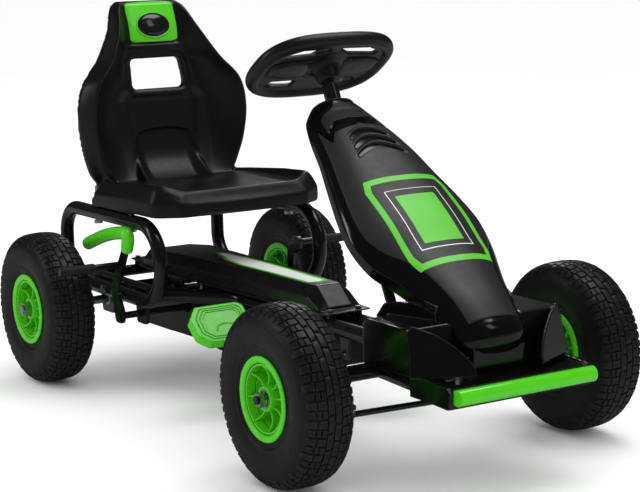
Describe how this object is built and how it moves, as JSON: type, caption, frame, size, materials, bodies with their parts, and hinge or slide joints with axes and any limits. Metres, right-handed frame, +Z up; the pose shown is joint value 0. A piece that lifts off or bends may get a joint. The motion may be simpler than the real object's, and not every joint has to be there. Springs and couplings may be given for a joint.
{
  "type": "pedal go kart",
  "caption": "Child's pedal go kart: tube frame, moulded seat, hood with side pods, chain guard, block-tread tyres on green rims, steering wheel, pedals and hand brake.",
  "frame": {"origin": "on the floor, under the middle of the overall box", "axes": "+X forward towards the bumper, +Y to the driver's left, +Z up; all four tyres stand on Z = 0"},
  "size_m": [1.15, 0.604, 0.643],
  "materials": {
    "frame_paint": "gloss black powder coat",
    "shell_satin": "satin black moulded plastic, fine grain",
    "shell_gloss": "gloss black moulded plastic",
    "green_plastic": "bright green moulded plastic",
    "green_paint": "bright green gloss paint",
    "tyre_rubber": "black tyre rubber with block tread",
    "grip_rubber": "matt black rubber",
    "zinc": "bright zinc plate",
    "chain_steel": "oiled steel",
    "bush_nylon": "natural nylon",
    "wheel_grip": "matt black moulded plastic"
  },
  "bodies": {
    "chassis": {"main_frame": "frame_paint", "seat_loop_left": "frame_paint", "seat_loop_right": "frame_paint", "loop_bolts": "zinc", "seat_shell": "shell_satin", "seat_insert": "green_plastic", "seat_bolts": "zinc", "nose_hood": "shell_satin", "nose_grille": "shell_gloss", "side_pod_left": "shell_gloss", "side_pod_right": "shell_gloss", "bumper_tray": "shell_gloss", "bumper_bar": "green_paint", "bumper_screws": "zinc", "chain_guard_upper": "shell_satin", "chain_guard_lower": "shell_satin", "rear_axle_bushes": "bush_nylon", "crank_bushes": "bush_nylon", "column_bushes": "bush_nylon", "kingpin_bolts": "zinc", "drive_chain": "chain_steel", "guard_screws": "zinc"},
    "steering": {"steering_column": "frame_paint", "steering_wheel": "wheel_grip"},
    "knuckle_left": {"steering_knuckle_left": "frame_paint", "axle_nut_front_left": "zinc"},
    "knuckle_right": {"steering_knuckle_right": "frame_paint", "axle_nut_front_right": "zinc"},
    "tie_rod_left": {"tie_rod_left": "frame_paint"},
    "tie_rod_right": {"tie_rod_right": "frame_paint"},
    "front_wheel_left": {"tyre_front_left": "tyre_rubber", "rim_front_left": "green_plastic", "wheel_bearings_front_left": "zinc"},
    "front_wheel_right": {"tyre_front_right": "tyre_rubber", "rim_front_right": "green_plastic", "wheel_bearings_front_right": "zinc"},
    "rear_axle": {"rear_axle": "zinc", "axle_sprocket": "chain_steel", "tyre_rear_right": "tyre_rubber", "rim_rear_right": "green_plastic", "drive_hub_rear_right": "zinc", "axle_nuts_rear": "zinc"},
    "rear_wheel_left": {"tyre_rear_left": "tyre_rubber", "rim_rear_left": "green_plastic", "wheel_bearings_rear_left": "zinc"},
    "crank": {"crankshaft": "frame_paint", "chainring": "chain_steel"},
    "pedal_left": {"pedal_left": "green_plastic"},
    "pedal_right": {"pedal_right": "green_plastic"},
    "brake": {"brake_lever": "frame_paint", "brake_pads": "grip_rubber", "brake_grip": "green_plastic"}
  },
  "joints": [
    {"name": "steering_turn", "type": "hinge", "parent": "chassis", "child": "steering", "pos_m": [0.071, 0, 0.557], "axis": [-0.4472, 0, 0.8944], "range_deg": [-25, 25]},
    {"name": "kingpin_left", "type": "hinge", "parent": "chassis", "child": "knuckle_left", "pos_m": [0.352, 0.185, 0.13], "axis": [0, 0, 1], "range_deg": [-25, 25]},
    {"name": "kingpin_right", "type": "hinge", "parent": "chassis", "child": "knuckle_right", "pos_m": [0.352, -0.185, 0.13], "axis": [0, 0, 1], "range_deg": [-25, 25]},
    {"name": "tie_pivot_left", "type": "hinge", "parent": "knuckle_left", "child": "tie_rod_left", "pos_m": [0.4056, 0.185, 0.102], "axis": [0, 0, 1], "range_deg": [-25, 25]},
    {"name": "tie_pivot_right", "type": "hinge", "parent": "knuckle_right", "child": "tie_rod_right", "pos_m": [0.4056, -0.185, 0.102], "axis": [0, 0, 1], "range_deg": [-25, 25]},
    {"name": "front_wheel_spin_left", "type": "hinge", "parent": "knuckle_left", "child": "front_wheel_left", "pos_m": [0.352, 0.255, 0.13], "axis": [0, 1, 0], "continuous": true},
    {"name": "front_wheel_spin_right", "type": "hinge", "parent": "knuckle_right", "child": "front_wheel_right", "pos_m": [0.352, -0.255, 0.13], "axis": [0, 1, 0], "continuous": true},
    {"name": "rear_axle_spin", "type": "hinge", "parent": "chassis", "child": "rear_axle", "pos_m": [-0.443, 0, 0.13], "axis": [0, 1, 0], "continuous": true, "deforming": ["drive_chain"]},
    {"name": "rear_wheel_spin_left", "type": "hinge", "parent": "rear_axle", "child": "rear_wheel_left", "pos_m": [-0.443, 0.255, 0.13], "axis": [0, 1, 0], "continuous": true},
    {"name": "crank_spin", "type": "hinge", "parent": "chassis", "child": "crank", "pos_m": [0.0258, 0, 0.13], "axis": [0, 1, 0], "continuous": true, "deforming": ["drive_chain"]},
    {"name": "pedal_spin_left", "type": "hinge", "parent": "crank", "child": "pedal_left", "pos_m": [0.11281, 0.119, 0.11684], "axis": [0, 1, 0], "continuous": true},
    {"name": "pedal_spin_right", "type": "hinge", "parent": "crank", "child": "pedal_right", "pos_m": [-0.06121, -0.119, 0.14316], "axis": [0, 1, 0], "continuous": true},
    {"name": "brake_pull", "type": "hinge", "parent": "chassis", "child": "brake", "pos_m": [-0.313, 0, 0.124], "axis": [0, -1, 0], "range_deg": [0, 14]}
  ],
  "couplings": [
    {"joint": "kingpin_left", "follows": "steering_turn", "ratio": 1},
    {"joint": "kingpin_right", "follows": "steering_turn", "ratio": 1},
    {"joint": "tie_pivot_left", "follows": "steering_turn", "ratio": -1},
    {"joint": "tie_pivot_right", "follows": "steering_turn", "ratio": -1},
    {"joint": "crank_spin", "follows": "rear_axle_spin", "ratio": 0.5}
  ]
}
